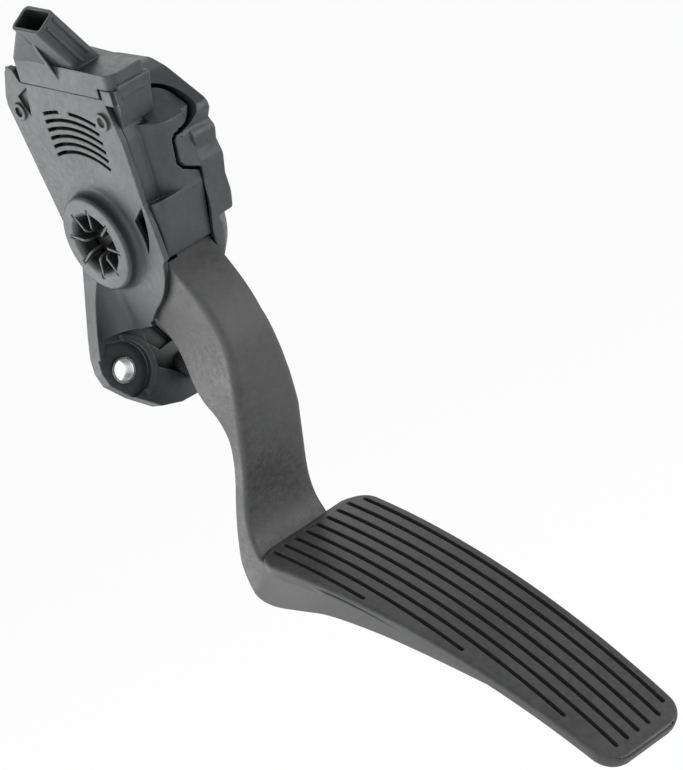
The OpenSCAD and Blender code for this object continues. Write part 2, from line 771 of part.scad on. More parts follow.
// A compression spring along Y, swept as a strip of short round rods
module spring(r, d, turns, y0, y1) {
    steps = 14;
    n = turns * steps;
    pitch = (y1 - y0 - d) / turns;
    sides = 8;
    ring = r - d / 2;
    points = [for (i = [0:n]) let (a = i * 360 / steps, y = y0 + d / 2 + pitch * i / steps)
        for (k = [0:sides - 1]) let (b = k * 360 / sides, q = ring + d / 2 * cos(b))
            [q * cos(a), y + d / 2 * sin(b), q * sin(a)]];
    faces = concat(
        [[for (k = [0:sides - 1]) k]],
        [for (i = [0:n - 1]) for (k = [0:sides - 1]) let (m = (k + 1) % sides)
            [i * sides + k, (i + 1) * sides + k, (i + 1) * sides + m, i * sides + m]],
        [[for (k = [sides - 1:-1:0]) n * sides + k]]);
    polyhedron(points, faces);
}

module outer_spring() {
    color("silver") at_pivot() place(spring_x, spring_z)
        spring(spring_r, wire_d, spring_turns, spring_y0, lever_y0 - seat_t - 0.1);
}

module inner_spring() {
    color("silver") at_pivot() place(spring_x, spring_z)
        spring(inner_r, inner_wire_d, inner_turns, spring_y0, lever_y0 - seat_t - 0.1);
}

module spring_seat() {
    color("ivory") at_pivot() place(spring_x, spring_z) {
        rod_y(lever_y0 - seat_t, lever_y0, spring_r);
        rod_y(lever_y0 - seat_t - 4, lever_y0 - seat_t + eps, inner_r - inner_wire_d - 0.3);
    }
}

// Shoe that rubs on the hub and gives the pedal its hysteresis
module friction_shoe() {
    color("ivory") at_pivot() slab(18, 26) polygon(concat(arc(hub_r + 0.1, -80, -20, 12),
        arc(hub_r + 3, -20, -80, 12)));
}

module idle_stop() {
    color("black") at_pivot() place(spring_x, spring_z) rod_y(stop_y, stop_y + 8, 4);
}

module full_stop() {
    color("black") at_pivot() place(full_stop_x, full_stop_z) rod_y(full_stop_y, back_y + 1.5, 5);
}

module magnet_carrier() {
    color("ivory") at_pivot() difference() {
        slab(14.5, 19.5) polygon(concat(arc(hub_r + 0.05, 80, -10, 14), [[5, 29], [-9, 29]],
            arc(hub_r + 3, 40, 80, 8)));
        magnet_blocks(0.02);
    }
}

module magnet_blocks(grow) {
    for (y = [-6.2, 0.2]) translate([14 - grow, y - grow, 23 - grow])
        cube([1.5 + 2 * grow, magnet_a + 2 * grow, magnet_a + 2 * grow]);
}

module magnets() {
    color("silver") at_pivot() magnet_blocks(0);
}

board_x = cheek_in + 0.8;

module sensor_board() {
    color("darkgreen") at_pivot() slab(board_x, board_x + board_t)
        polygon([[-26, 20], [4, 20], [4, 62], [-2, 64], [-20, 60], [-26, 54]]);
}

module hall_chips() {
    color([0.1, 0.1, 0.1]) at_pivot() for (y = [-5.6, 0.8]) translate([board_x + board_t, y, 23.6])
        cube([1, 3.8, 3.8]);
}

module board_parts() {
    color("tan") at_pivot() for (i = [0:3]) translate([board_x + board_t, -22 + i * 5, 34])
        cube([1.1, 2.4, 1.4]);
}

module cover_screws() {
    color("silver") at_pivot() for (s = screw_at) translate([0, s[0], s[1]]) difference() {
        union() {
            rod_x(post_end - 8, cover_x - screw_head_t, screw_r);
            rod_x(cover_x - screw_head_t, cover_x, screw_head_r);
        }
        translate([cover_x - 1.2, 0, 0]) rotate([0, 90, 0]) cylinder(r = 1.4, h = 2, $fn = 6);
    }
}

housing();
front_cover();
spring_cover();
sensor_cap();
pedal_arm();
bush_left();
bush_right();
thrust_washer();
lower_sleeve();
upper_sleeve();
outer_spring();
inner_spring();
spring_seat();
friction_shoe();
idle_stop();
full_stop();
magnet_carrier();
magnets();
sensor_board();
hall_chips();
board_parts();
terminals();
cover_screws();
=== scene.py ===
"""Dresses the accelerator pedal module: finishes for its parts, the rounded spring cover, the coil springs,
the arm with its grooved tread, and the stage. Sizes of the arm and tread are millimetres from the pedal's
pivot axis and become metres in work(). The settings are in metres."""

import math

import bmesh
import bpy
from bpy.props import FloatProperty, FloatVectorProperty, IntProperty, PointerProperty
from mathutils import Matrix, Vector

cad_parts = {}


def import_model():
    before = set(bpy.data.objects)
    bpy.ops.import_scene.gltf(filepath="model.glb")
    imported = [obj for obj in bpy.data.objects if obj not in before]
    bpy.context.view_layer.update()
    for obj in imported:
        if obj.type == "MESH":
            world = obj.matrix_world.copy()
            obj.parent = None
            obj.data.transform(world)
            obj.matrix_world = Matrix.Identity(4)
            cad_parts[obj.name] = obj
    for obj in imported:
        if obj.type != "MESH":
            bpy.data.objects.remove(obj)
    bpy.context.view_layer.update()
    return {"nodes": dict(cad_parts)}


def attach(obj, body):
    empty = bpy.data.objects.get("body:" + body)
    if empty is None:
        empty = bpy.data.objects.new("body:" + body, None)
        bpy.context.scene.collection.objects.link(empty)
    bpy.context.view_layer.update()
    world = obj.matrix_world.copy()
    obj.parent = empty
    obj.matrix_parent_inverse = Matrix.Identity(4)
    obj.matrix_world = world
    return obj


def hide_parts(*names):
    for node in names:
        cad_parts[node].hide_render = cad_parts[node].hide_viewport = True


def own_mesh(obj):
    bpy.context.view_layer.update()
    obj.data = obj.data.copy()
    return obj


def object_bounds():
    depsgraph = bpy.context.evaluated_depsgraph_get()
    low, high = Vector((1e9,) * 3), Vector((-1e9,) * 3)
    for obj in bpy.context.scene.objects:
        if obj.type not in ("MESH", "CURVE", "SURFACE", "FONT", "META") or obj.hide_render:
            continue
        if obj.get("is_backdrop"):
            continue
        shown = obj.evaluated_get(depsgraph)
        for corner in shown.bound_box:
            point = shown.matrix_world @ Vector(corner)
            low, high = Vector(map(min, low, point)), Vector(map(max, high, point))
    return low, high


bl_info = {
    "name": "Accelerator pedal",
    "version": (1, 0, 0),
    "blender": (4, 5, 0),
    "location": "View3D > Sidebar > Pedal",
    "description": "Builds the looks of an accelerator pedal module on its CAD frame",
    "category": "Object",
}

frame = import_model()
CAD = frame["nodes"]
# Place of the pivot axis in the part's frame, at x = 0, in millimetres
PIVOT = Vector((0.0, -25.0, 52.0))

# The tread's arc in side view: centre, radius and the angle of its upper edge
TREAD_CENTRE = (110.7, -462.2)
TREAD_RADIUS = 344.6
TREAD_EDGE = 19.7

# The pad: its length down the chord, corner radius, right edge, and the chord's lean in degrees
PAD_LENGTH = 178.0
PAD_CORNER = 10.0
PAD_RIGHT = 60.0
PAD_LEAN = 35.0
# Rounding of the pad's rims in metres, and the least turn in radians of an edge that is on a rim
TOP_RIM = 0.0015
BOTTOM_RIM = 0.0008
RIM_TURN = 0.6
# A pad with fewer faces than this has lost its body to a failed cut
FEWEST_PAD_FACES = 500

# Edges under these angles in degrees are shaded smooth: usual parts, the arm and tread, the coils
SOFT_ANGLE = 35.0
MOULDED_ANGLE = 32.0
COIL_ANGLE = 50.0

# Corners of a CAD mesh that lie closer than this are one corner, in metres
MERGE_DISTANCE = 2e-6

# Shares of a finish's colour in its dark patches, light patches, and the painted shade of slots and inner
# corners
DARK, LIGHT, PAINTED_SHADE = 0.8, 1.22, 0.12
# Lighter edges of the black mouldings, scuffed and painted highlight, and the housing's black, as shares of
# the chosen black
WORN_AND_HIGHLIGHT_GAIN = 3.4
COOL = (0.72, 0.76, 0.82)
# How much the edges' scuffing and painted highlight change the colour, how much the scuffing lowers the
# roughness, and how much specks and dust raise it
WORN_AND_HIGHLIGHT_COLOUR, WORN_POLISH, SPECK_ROUGH, DUST_ROUGH = 0.8, 0.1, 0.05, 0.3
# Height of the grain in the shading, in metres
GRAIN_DEPTH = 0.00014

WHITE = (1.0, 1.0, 1.0, 1.0)


def work(x, y, z):
    """A point in millimetres from the pivot axis, as metres in the part's frame."""
    return (Vector((x, y, z)) + PIVOT) / 1000.0


def tread(along, depth=0.0):
    """(y, z) of the tread at a length from its upper edge, or under it by depth."""
    a = math.radians(TREAD_EDGE) + along / TREAD_RADIUS
    r = TREAD_RADIUS - depth
    return TREAD_CENTRE[0] - r * math.sin(a), TREAD_CENTRE[1] + r * math.cos(a)


def between(table, z):
    """Value at a height in a table of (height, value), falling heights."""
    for (z0, v0), (z1, v1) in zip(table, table[1:]):
        if z >= z1:
            t = min(max((z0 - z) / (z0 - z1), 0.0), 1.0)
            return v0 + (v1 - v0) * t
    return table[-1][1]


def curve_value(a, b, c, d, t):
    """Value at a share t of the way from b to c on a smooth curve through all four."""
    bend = 2 * a - 5 * b + 4 * c - d
    twist = 3 * b - a - 3 * c + d
    return 0.5 * (2 * b + (c - a) * t + bend * t * t + twist * t**3)


def spline(points, steps):
    """Points of a smooth curve through the given ones."""
    out = []
    last = len(points) - 1
    for i in range(last):
        p0, p1 = points[max(i - 1, 0)], points[i]
        p2, p3 = points[i + 1], points[min(i + 2, last)]
        for k in range(steps):
            out.append(tuple(curve_value(*four, k / steps) for four in zip(p0, p1, p2, p3)))
    out.append(tuple(points[-1]))
    return out


def mesh_object(name, bm, smooth_under=SOFT_ANGLE):
    """Turns a bmesh into an object at the origin, smooth apart from edges sharper than an angle."""
    bmesh.ops.recalc_face_normals(bm, faces=bm.faces)
    mesh = bpy.data.meshes.new(name)
    bm.to_mesh(mesh)
    bm.free()
    return finish_shading(link(name, mesh), smooth_under)


def link(name, mesh):
    piece = bpy.data.objects.new(name, mesh)
    bpy.context.scene.collection.objects.link(piece)
    return piece


def finish_shading(piece, smooth_under=SOFT_ANGLE):
    piece.data.shade_smooth()
    piece.data.set_sharp_from_angle(angle=math.radians(smooth_under))
    return piece


def coat(piece, material):
    piece.data.materials.clear()
    piece.data.materials.append(material)


# Node helpers


def add(tree, kind, inputs=None, **settings):
    """A node with its settings, and its inputs linked to sockets or set to values."""
    made = tree.nodes.new(kind)
    for key, value in settings.items():
        setattr(made, key, value)
    for key, value in (inputs or {}).items():
        feed(tree, made.inputs[key], value)
    return made


def feed(tree, socket, value):
    if isinstance(value, bpy.types.NodeSocket):
        tree.links.new(value, socket)
    else:
        socket.default_value = value


def math_node(tree, operation, a, b=0.0, clamp=False):
    made = add(tree, "ShaderNodeMath", {0: a, 1: b}, operation=operation)
    made.use_clamp = clamp
    return made.outputs[0]


def stretch(tree, value, low, high):
    """Stretches the range from low to high over 0 to 1."""
    inputs = {"Value": value, "From Min": low, "From Max": high}
    return add(tree, "ShaderNodeMapRange", inputs).outputs["Result"]


def noise(tree, place, scale, detail, roughness=0.5):
    inputs = {"Vector": place, "Scale": scale, "Detail": detail, "Roughness": roughness}
    return add(tree, "ShaderNodeTexNoise", inputs).outputs["Fac"]


def open_group(name, kind, inputs, outputs):
    """A node group with named sockets. Returns the tree and its input and output nodes."""
    tree = bpy.data.node_groups.new(name, kind)
    for title, socket_type, default in inputs:
        s = tree.interface.new_socket(name=title, in_out="INPUT", socket_type=socket_type)
        if default is not None:
            s.default_value = default
    for title, socket_type in outputs:
        tree.interface.new_socket(name=title, in_out="OUTPUT", socket_type=socket_type)
    return tree, tree.nodes.new("NodeGroupInput"), tree.nodes.new("NodeGroupOutput")


def edge_wear_and_highlight_group():
    """Rounds edges in the shading and finds where hands and shoes polish them; the colour lightens there as
    scuffing and as painted highlight.
    """
    tree, given, put = open_group(
        "Edge scuffing and highlight",
        "ShaderNodeTree",
        [("Radius", "NodeSocketFloat", 0.0006), ("Breakup", "NodeSocketFloat", 90.0)],
        [("Normal", "NodeSocketVector"), ("Worn and highlight", "NodeSocketFloat")],
    )
    bevel = add(tree, "ShaderNodeBevel", {"Radius": given.outputs["Radius"]}, samples=6)
    surface = add(tree, "ShaderNodeNewGeometry")
    normals = {0: bevel.outputs["Normal"], 1: surface.outputs["Normal"]}
    dot = add(tree, "ShaderNodeVectorMath", normals, operation="DOT_PRODUCT")
    edge = stretch(tree, dot.outputs["Value"], 0.995, 0.86)
    place = add(tree, "ShaderNodeTexCoord").outputs["Object"]
    patches = noise(tree, place, given.outputs["Breakup"], 4.0)
    broken = stretch(tree, patches, 0.35, 0.65)
    worn_and_highlight = math_node(tree, "MULTIPLY", edge, broken, clamp=True)
    tree.links.new(bevel.outputs["Normal"], put.inputs["Normal"])
    tree.links.new(worn_and_highlight, put.inputs["Worn and highlight"])
    return tree


def cavity_shade_and_dust_group():
    """Finds slots and inner corners: their colour darkens there as painted shade, and their roughness rises
    as dust.
    """
    tree, given, put = open_group(
        "Cavity shade and dust",
        "ShaderNodeTree",
        [("Reach", "NodeSocketFloat", 0.012), ("Depth", "NodeSocketFloat", 1.0)],
        [("Shade", "NodeSocketFloat"), ("Dust", "NodeSocketFloat")],
    )
    near = add(tree, "ShaderNodeAmbientOcclusion", {"Distance": given.outputs["Reach"]}, samples=8)
    open_part = stretch(tree, near.outputs["AO"], 0.35, 0.88)
    closed = math_node(tree, "SUBTRACT", 1.0, open_part, clamp=True)
    shade = math_node(tree, "MULTIPLY", closed, given.outputs["Depth"])
    tree.links.new(math_node(tree, "SUBTRACT", 1.0, shade), put.inputs["Shade"])
    tree.links.new(closed, put.inputs["Dust"])
    return tree


def grain_group():
    """Fine spark-eroded grain of a mould, with soft patches of sheen over it."""
    tree, given, put = open_group(
        "Mould grain",
        "ShaderNodeTree",
        [("Scale", "NodeSocketFloat", 1500.0), ("Patches", "NodeSocketFloat", 38.0)],
        [("Height", "NodeSocketFloat"), ("Patch", "NodeSocketFloat"), ("Speck", "NodeSocketFloat")],
    )
    place = add(tree, "ShaderNodeTexCoord").outputs["Object"]
    pits = noise(tree, place, given.outputs["Scale"], 3.0, roughness=0.65)
    cells = add(tree, "ShaderNodeTexVoronoi", {"Vector": place, "Scale": given.outputs["Scale"]})
    bumps = math_node(tree, "MULTIPLY", cells.outputs["Distance"], 0.4)
    broad = noise(tree, place, given.outputs["Patches"], 5.0)
    close = math_node(tree, "MULTIPLY", given.outputs["Patches"], 11.0)
    mottle = noise(tree, place, close, 3.0)
    both = math_node(tree, "MULTIPLY", math_node(tree, "ADD", broad, mottle), 0.5)
    tree.links.new(math_node(tree, "ADD", pits, bumps), put.inputs["Height"])
    tree.links.new(stretch(tree, both, 0.38, 0.62), put.inputs["Patch"])
    tree.links.new(stretch(tree, pits, 0.42, 0.62), put.inputs["Speck"])
    return tree


def place_group(tree, group, values):
    made = tree.nodes.new("ShaderNodeGroup")
    made.node_tree = group
    for key, value in values.items():
        feed(tree, made.inputs[key], value)
    return made


def mix_colour(tree, factor, a, b):
    made = tree.nodes.new("ShaderNodeMix")
    made.data_type = "RGBA"
    feed(tree, made.inputs["Factor"], factor)
    feed(tree, made.inputs["A"], a)
    feed(tree, made.inputs["B"], b)
    return made.outputs["Result"]


def finish_material(
    name,
    colour,
    worn_and_highlight_colour,
    roughness,
    metallic=0.0,
    radius=0.0006,
    grain=1500.0,
    bump=0.25,
    spread=0.12,
    specular=0.5,
    reach=0.012,
):
    """A material with grain, soft patches, rounded edges lightened as scuffing and as painted highlight, and
    painted shade in slots and inner corners.
    """
    material = bpy.data.materials.new(name)
    material.use_nodes = True
    material.diffuse_color = (*colour, 1.0)
    tree = material.node_tree
    shader = tree.nodes["Principled BSDF"]
    wear_and_highlight = place_group(tree, bpy.data.node_groups["Edge scuffing and highlight"], {"Radius": radius})
    skin = place_group(tree, bpy.data.node_groups["Mould grain"], {"Scale": grain})
    hollow_shade_and_dust = place_group(tree, bpy.data.node_groups["Cavity shade and dust"], {"Reach": reach})
    dark = tuple(c * DARK for c in colour)
    light = tuple(min(c * LIGHT, 1.0) for c in colour)
    painted_shade = tuple(c * PAINTED_SHADE for c in colour)
    base = mix_colour(tree, skin.outputs["Patch"], (*dark, 1.0), (*light, 1.0))
    # Painted shade: slots and inner corners darken towards a small share of the colour
    base = mix_colour(tree, hollow_shade_and_dust.outputs["Shade"], (*painted_shade, 1.0), base)
    # Edges lighten as scuffing and as painted highlight
    rubbed_and_highlight = math_node(tree, "MULTIPLY", wear_and_highlight.outputs["Worn and highlight"], WORN_AND_HIGHLIGHT_COLOUR)
    worn_and_highlight = mix_colour(tree, rubbed_and_highlight, base, (*worn_and_highlight_colour, 1.0))
    tree.links.new(worn_and_highlight, shader.inputs["Base Color"])
    low, high = roughness - spread / 2, roughness + spread / 2
    sheen = {"Value": skin.outputs["Patch"], "To Min": low, "To Max": high}
    sheen = add(tree, "ShaderNodeMapRange", sheen).outputs["Result"]
    polished = math_node(tree, "MULTIPLY", wear_and_highlight.outputs["Worn and highlight"], WORN_POLISH)
    speckled = math_node(tree, "MULTIPLY", skin.outputs["Speck"], SPECK_ROUGH)
    dusty = math_node(tree, "MULTIPLY", hollow_shade_and_dust.outputs["Dust"], DUST_ROUGH)
    rough = math_node(tree, "SUBTRACT", sheen, polished)
    rough = math_node(tree, "ADD", rough, speckled)
    rough = math_node(tree, "ADD", rough, dusty, clamp=True)
    tree.links.new(rough, shader.inputs["Roughness"])
    shader.inputs["Metallic"].default_value = metallic
    shader.inputs["Specular IOR Level"].default_value = specular
    relief = add(tree, "ShaderNodeBump", {"Strength": bump, "Distance": GRAIN_DEPTH})
    tree.links.new(skin.outputs["Height"], relief.inputs["Height"])
    tree.links.new(wear_and_highlight.outputs["Normal"], relief.inputs["Normal"])
    tree.links.new(relief.outputs["Normal"], shader.inputs["Normal"])
    return material


# Arm


# Stations down the arm: front y and z, back y and z, radius of the front edges
ARM_STATIONS = [
    (-30.9, 2.2, -2.0, 2.0, 0.5),
    (-30.4, -6.0, -2.5, -8.0, 0.5),
    (-28.4, -13.0, -3.0, -22.0, 0.8),
    (-35.0, -24.0, -3.4, -35.0, 2.4),
    (-40.0, -34.6, -6.2, -43.0, 3.2),
    (-42.3, -44.5, -8.2, -48.5, 3.4),
    (-42.0, -53.0, -8.4, -56.0, 3.4),
    (-38.6, -62.5, -7.5, -65.0, 3.4),
    (-33.4, -72.5, -8.6, -73.0, 3.2),
    (-27.4, -83.5, -12.8, -81.0, 3.0),
    (-20.7, -95.0, -13.6, -90.0, 2.8),
    (-14.4, -106.2, -9.8, -99.5, 2.6),
    (-8.8, -116.4, -3.6, -111.0, 2.4),
    (-5.8, -124.0, 1.5, -121.0, 2.2),
    (-4.8, -130.5, 5.4, -131.0, 2.0),
    (-5.6, -135.6, 8.2, -141.0, 1.8),
]
# The same below the tread, front given by a length along it and a depth
HEEL_STATIONS = [
    (2, 1.2, 9.2, -149.5, 1.6),
    (9, 1.5, 7.6, -157.2, 1.5),
    (20, 1.5, 0.0, -161.4, 1.4),
    (34, 1.8, -16.0, -163.8, 1.2),
    (50, 2.0, -33.0, -166.6, 1.0),
    (70, 3.0, -58.0, -176.4, 0.9),
    (98, 4.2, -84.0, -190.2, 0.7),
    (126, 4.5, -109.6, -205.8, 0.4),
]
# Where the web under the tread ends: length along the tread, depth of front and back, edge radius
WEB_END = (144, 4.4, 4.9, 0.3)
# Radius of the back edges, in metres
BACK_RADIUS = 0.0012
# The arm's left and right sides, as (height, x)
ARM_LEFT = [(40, 10.1), (-100, 10.1), (-108, 9.5), (-122, 7.2), (-140, 4.1), (-155, 4.0), (-190, 12.0)]
ARM_LEFT += [(-201, 14.5), (-206, 16.0), (-212, 18.5), (-220, 19.5)]
ARM_RIGHT = [(40, 33.1), (-46, 33.1), (-54, 34.2), (-60, 35.5), (-75, 39.0), (-90, 41.6)]
ARM_RIGHT += [(-180, 42.0), (-210, 40.0)]
# The two rows of cells in the back of the arm, as ranges of x
CELL_ROWS = [(13.1, 20.6), (22.6, 30.1)]
# The cells of a row, in side view
ARM_CELLS = [
    [(-6, -42), (-12, -40), (-33, -42), (-38, -50), (-36.5, -60), (4, -60)],
    [(4, -62), (-35.5, -62), (-31, -70), (-26.5, -79), (0, -79)],
    [(4, -81), (-25.5, -81), (-16, -97), (-11, -105.5), (4, -105.5)],
    [(14, -107.5), (-10, -107.5), (-4.6, -117), (0, -129), (14, -129)],
]
# Where the head is set back behind the cheek plate's slot, in side view
HEAD_RECESS = [(-33, 4), (-33, -12.5), (-26, -16), (-14, -16), (-14, 4)]
RECESS_WIDTH = (9.1, 16.1)
# Turned round the pivot axis, as (x, radius): the hub and the journals, of which the left one is hollow
HUB = [(10.3, 0), (10.3, 12.4), (10.9, 13), (32.5, 13), (33.1, 12.4), (33.1, 0)]
LEFT_JOURNAL = [(4.2, 14.7), (4.2, 16.4), (4.7, 16.9), (12.1, 16.9), (12.6, 16.4)]
LEFT_JOURNAL += [(12.6, 0), (11.1, 0), (11.1, 14.7)]
RIGHT_JOURNAL = [(32.1, 0), (32.1, 7), (41.4, 7), (41.9, 6.5), (41.9, 0)]
# The lever for the springs, as side view and range of x: its root on the hub, and the part beside the hub
LEVER_ROOT = [(-4, 0), (3, 0), (3, 26.9), (-4, 26.9)]
LEVER_ROOT_WIDTH = (28.5, 33.1)
LEVER_TIP = [(-4, 11.45), (3, 11.45), (3, 26.9), (-4, 26.9)]
LEVER_TIP_WIDTH = (33.0, 41.2)


def rounded_section(corners, radii, steps=5, most=0.42, beside=0.12):
    """A four cornered section with each corner rounded, over at most a share of each side."""
    ring = []
    for i, corner in enumerate(corners):
        before, after = corners[i - 1], corners[(i + 1) % 4]
        a = corner + (before - corner).normalized() * min(radii[i], (before - corner).length * most)
        b = corner + (after - corner).normalized() * min(radii[i], (after - corner).length * most)
        # A point beside each end keeps the flat sides flat in the shading
        ring.append(a + (a - corner) * beside)
        for k in range(steps):
            t = k / (steps - 1)
            ring.append(a * (1 - t) ** 2 + corner * 2 * t * (1 - t) + b * t * t)
        ring.append(b + (b - corner) * beside)
    return ring


def arm_loft(bm, round_scale):
    """The arm from its head in the housing's mouth down to the web under the tread."""
    stations = list(ARM_STATIONS)
    for along, depth, back_y, back_z, r in HEEL_STATIONS:
        stations.append((*tread(along, depth), back_y, back_z, r))
    # The web runs out into the underside of the tread
    along, front_depth, back_depth, r = WEB_END
    stations.append((*tread(along, front_depth), *tread(along, back_depth), r))
    rings = []
    for fy, fz, by, bz, r in spline(stations, 5):
        corners = [
            work(between(ARM_LEFT, fz), fy, fz),
            work(between(ARM_RIGHT, fz), fy, fz),
            work(between(ARM_RIGHT, bz), by, bz),
            work(between(ARM_LEFT, bz), by, bz),
        ]
        front = r * round_scale / 1000
        radii = [front, front, BACK_RADIUS, BACK_RADIUS]
        rings.append([bm.verts.new(p) for p in rounded_section(corners, radii)])
    n = len(rings[0])
    for upper, lower in zip(rings, rings[1:]):
        for k in range(n):
            bm.faces.new((upper[k], upper[(k + 1) % n], lower[(k + 1) % n], lower[k]))
    bm.faces.new(rings[0])
    bm.faces.new(reversed(rings[-1]))


def prism(bm, outline, x0, x1):
    """A side view outline drawn out across the part."""
    left = [bm.verts.new(work(x0, y, z)) for y, z in outline]
    right = [bm.verts.new(work(x1, y, z)) for y, z in outline]
    n = len(outline)
    for k in range(n):
        bm.faces.new((left[k], left[(k + 1) % n], right[(k + 1) % n], right[k]))
    bm.faces.new(left)
    bm.faces.new(right)


def merged_copy(source):
    """A bmesh of a CAD part's mesh, with its corners joined."""
    bm = bmesh.new()
    bm.from_mesh(source.data)
    bmesh.ops.remove_doubles(bm, verts=bm.verts, dist=MERGE_DISTANCE)
    return bm


def join_flat_faces(bm, angle=0.5):
    bmesh.ops.dissolve_limit(bm, angle_limit=math.radians(angle), verts=bm.verts, edges=bm.edges)


def rounded_copy(source, name, edge, corner):
    """A merged copy of a CAD part with rounded edges, and larger rounding at its outline's corners."""
    bm = merged_copy(source)
    join_flat_faces(bm)
    # The outline's corners are the edges that run across the part and reach its right side
    right = max(v.co.x for v in bm.verts) - 0.0005
    ends = [e for e in outer_edges(bm, 0.004, 12) if e.verts[0].co.x > right or e.verts[1].co.x > right]
    across = [e for e in ends if abs(e.verts[0].co.x - e.verts[1].co.x) > 0.9 * e.calc_length()]
    round_edges(bm, across, corner, 4)
    join_flat_faces(bm)
    round_edges(bm, outer_edges(bm, 0.002, 25), edge, 3)
    piece = mesh_object(name, bm)
    even = piece.modifiers.new("Even shading", "WEIGHTED_NORMAL")
    even.keep_sharp = True
    even.weight = 100
    bake(piece)
    return piece


def outer_edges(bm, shortest, angle):
    """Edges that stand out by more than an angle in degrees and are long enough to round."""
    whole = [e for e in bm.edges if e.is_manifold and e.is_convex and e.calc_length() > shortest]
    return [e for e in whole if e.calc_face_angle(0) > math.radians(angle)]


def round_edges(bm, edges, radius, segments):
    bmesh.ops.bevel(
        bm, geom=edges, offset=radius, offset_type="OFFSET", segments=segments, profile=0.5, affect="EDGES"
    )


def lathe_x(bm, profile, steps=96):
    """A closed profile of (x, radius) turned round the pivot axis."""
    rings = []
    for x, r in profile:
        if r <= 0:
            rings.append([bm.verts.new(work(x, 0, 0))])
        else:
            turn = [2 * math.pi * k / steps for k in range(steps)]
            rings.append([bm.verts.new(work(x, -r * math.sin(a), r * math.cos(a))) for a in turn])
    for one, two in zip(rings, rings[1:] + rings[:1]):
        if len(one) == 1 and len(two) == 1:
            continue
        for k in range(steps):
            a, b = one[k % len(one)], one[(k + 1) % len(one)]
            c, d = two[(k + 1) % len(two)], two[k % len(two)]
            bm.faces.new([v for i, v in enumerate((a, b, c, d)) if v not in (a, b, c, d)[:i]])


def cut(piece, cutter):
    """Cuts one mesh object out of another and removes the cutter."""
    step = piece.modifiers.new("Cut", "BOOLEAN")
    step.operation, step.solver, step.object = "DIFFERENCE", "EXACT", cutter
    bake(piece)
    bpy.data.objects.remove(cutter)


def bake(piece):
    """Turns the evaluated object into a plain mesh and drops its modifiers."""
    graph = bpy.context.evaluated_depsgraph_get()
    mesh = bpy.data.meshes.new_from_object(piece.evaluated_get(graph))
    piece.modifiers.clear()
    piece.data = mesh
    return piece


def join(name, pieces):
    bm = bmesh.new()
    for piece in pieces:
        bm.from_mesh(piece.data)
        bpy.data.objects.remove(piece)
    mesh = bpy.data.meshes.new(name)
    bm.to_mesh(mesh)
    bm.free()
    return link(name, mesh)


# Tread


def pad_edge(side, v, sizes, steps=240):
    """Place of the pad's left or right edge at a length down its chord.

    The edge is the outline of a circle with the corner's radius that moves down the side in small steps."""
    r = PAD_CORNER
    if side == "right":
        top = bottom = PAD_RIGHT - r
    else:
        top = PAD_RIGHT - sizes.pad_width * 1000 + r
        bottom = PAD_RIGHT - sizes.pad_foot_width * 1000 + r
    best = None
    for k in range(steps + 1):
        t = k / steps
        cx, cv = top + (bottom - top) * t, r + (PAD_LENGTH - 2 * r) * t
        if abs(v - cv) <= r:
            reach = math.sqrt(max(r * r - (v - cv) ** 2, 0.0))
            x = cx + reach if side == "right" else cx - reach
            best = x if best is None else (max(best, x) if side == "right" else min(best, x))
    return best


def chord_length(along):
    """Length down the pad's chord for a length along its curved tread."""
    y0, z0 = tread(0)
    y, z = tread(along)
    lean = math.radians(PAD_LEAN)
    return -(y - y0) * math.cos(lean) - (z - z0) * math.sin(lean)


def pad_blank(bm, sizes, columns=22, straight_rows=48):
    """The curved plate of the pad with a rounded rim, before its grooves."""
    r, full = PAD_CORNER, PAD_LENGTH
    lengths = [r * (1 - math.cos(math.radians(a))) for a in range(0, 91, 9)]
    lengths += [r + (full - 2 * r) * k / straight_rows for k in range(1, straight_rows)]
    lengths += [full - r * (1 - math.cos(math.radians(a))) for a in range(90, -1, -9)]
    sheets = []
    for depth in (0.0, sizes.pad_thickness * 1000):
        rows = []
        for v in lengths:
            # The length along the curved tread that has this length down the chord
            along = v
            for _ in range(6):
                along += v - chord_length(along)
            x0, x1 = pad_edge("left", v, sizes), pad_edge("right", v, sizes)
            y, z = tread(along, depth)
            places = [x0 + (x1 - x0) * k / columns for k in range(columns + 1)]
            rows.append([bm.verts.new(work(x, y, z)) for x in places])
        sheets.append(rows)
    for rows in sheets:
        for a, b in zip(rows, rows[1:]):
            for k in range(columns):
                bm.faces.new((a[k], a[k + 1], b[k + 1], b[k]))

    def rim(rows):
        down = [row[-1] for row in rows]
        return rows[0] + down[1:] + rows[-1][-2::-1] + [row[0] for row in rows][-2:0:-1]

    top, bottom = rim(sheets[0]), rim(sheets[1])
    n = len(top)
    for k in range(n):
        bm.faces.new((top[k], top[(k + 1) % n], bottom[(k + 1) % n], bottom[k]))
    bmesh.ops.recalc_face_normals(bm, faces=bm.faces)
    for loop, radius in ((top, TOP_RIM), (bottom, BOTTOM_RIM)):
        keep = set(loop)
        inside = [e for e in bm.edges if e.verts[0] in keep and e.verts[1] in keep]
        round_edges(bm, [e for e in inside if e.calc_face_angle(0) > RIM_TURN], radius, 3)


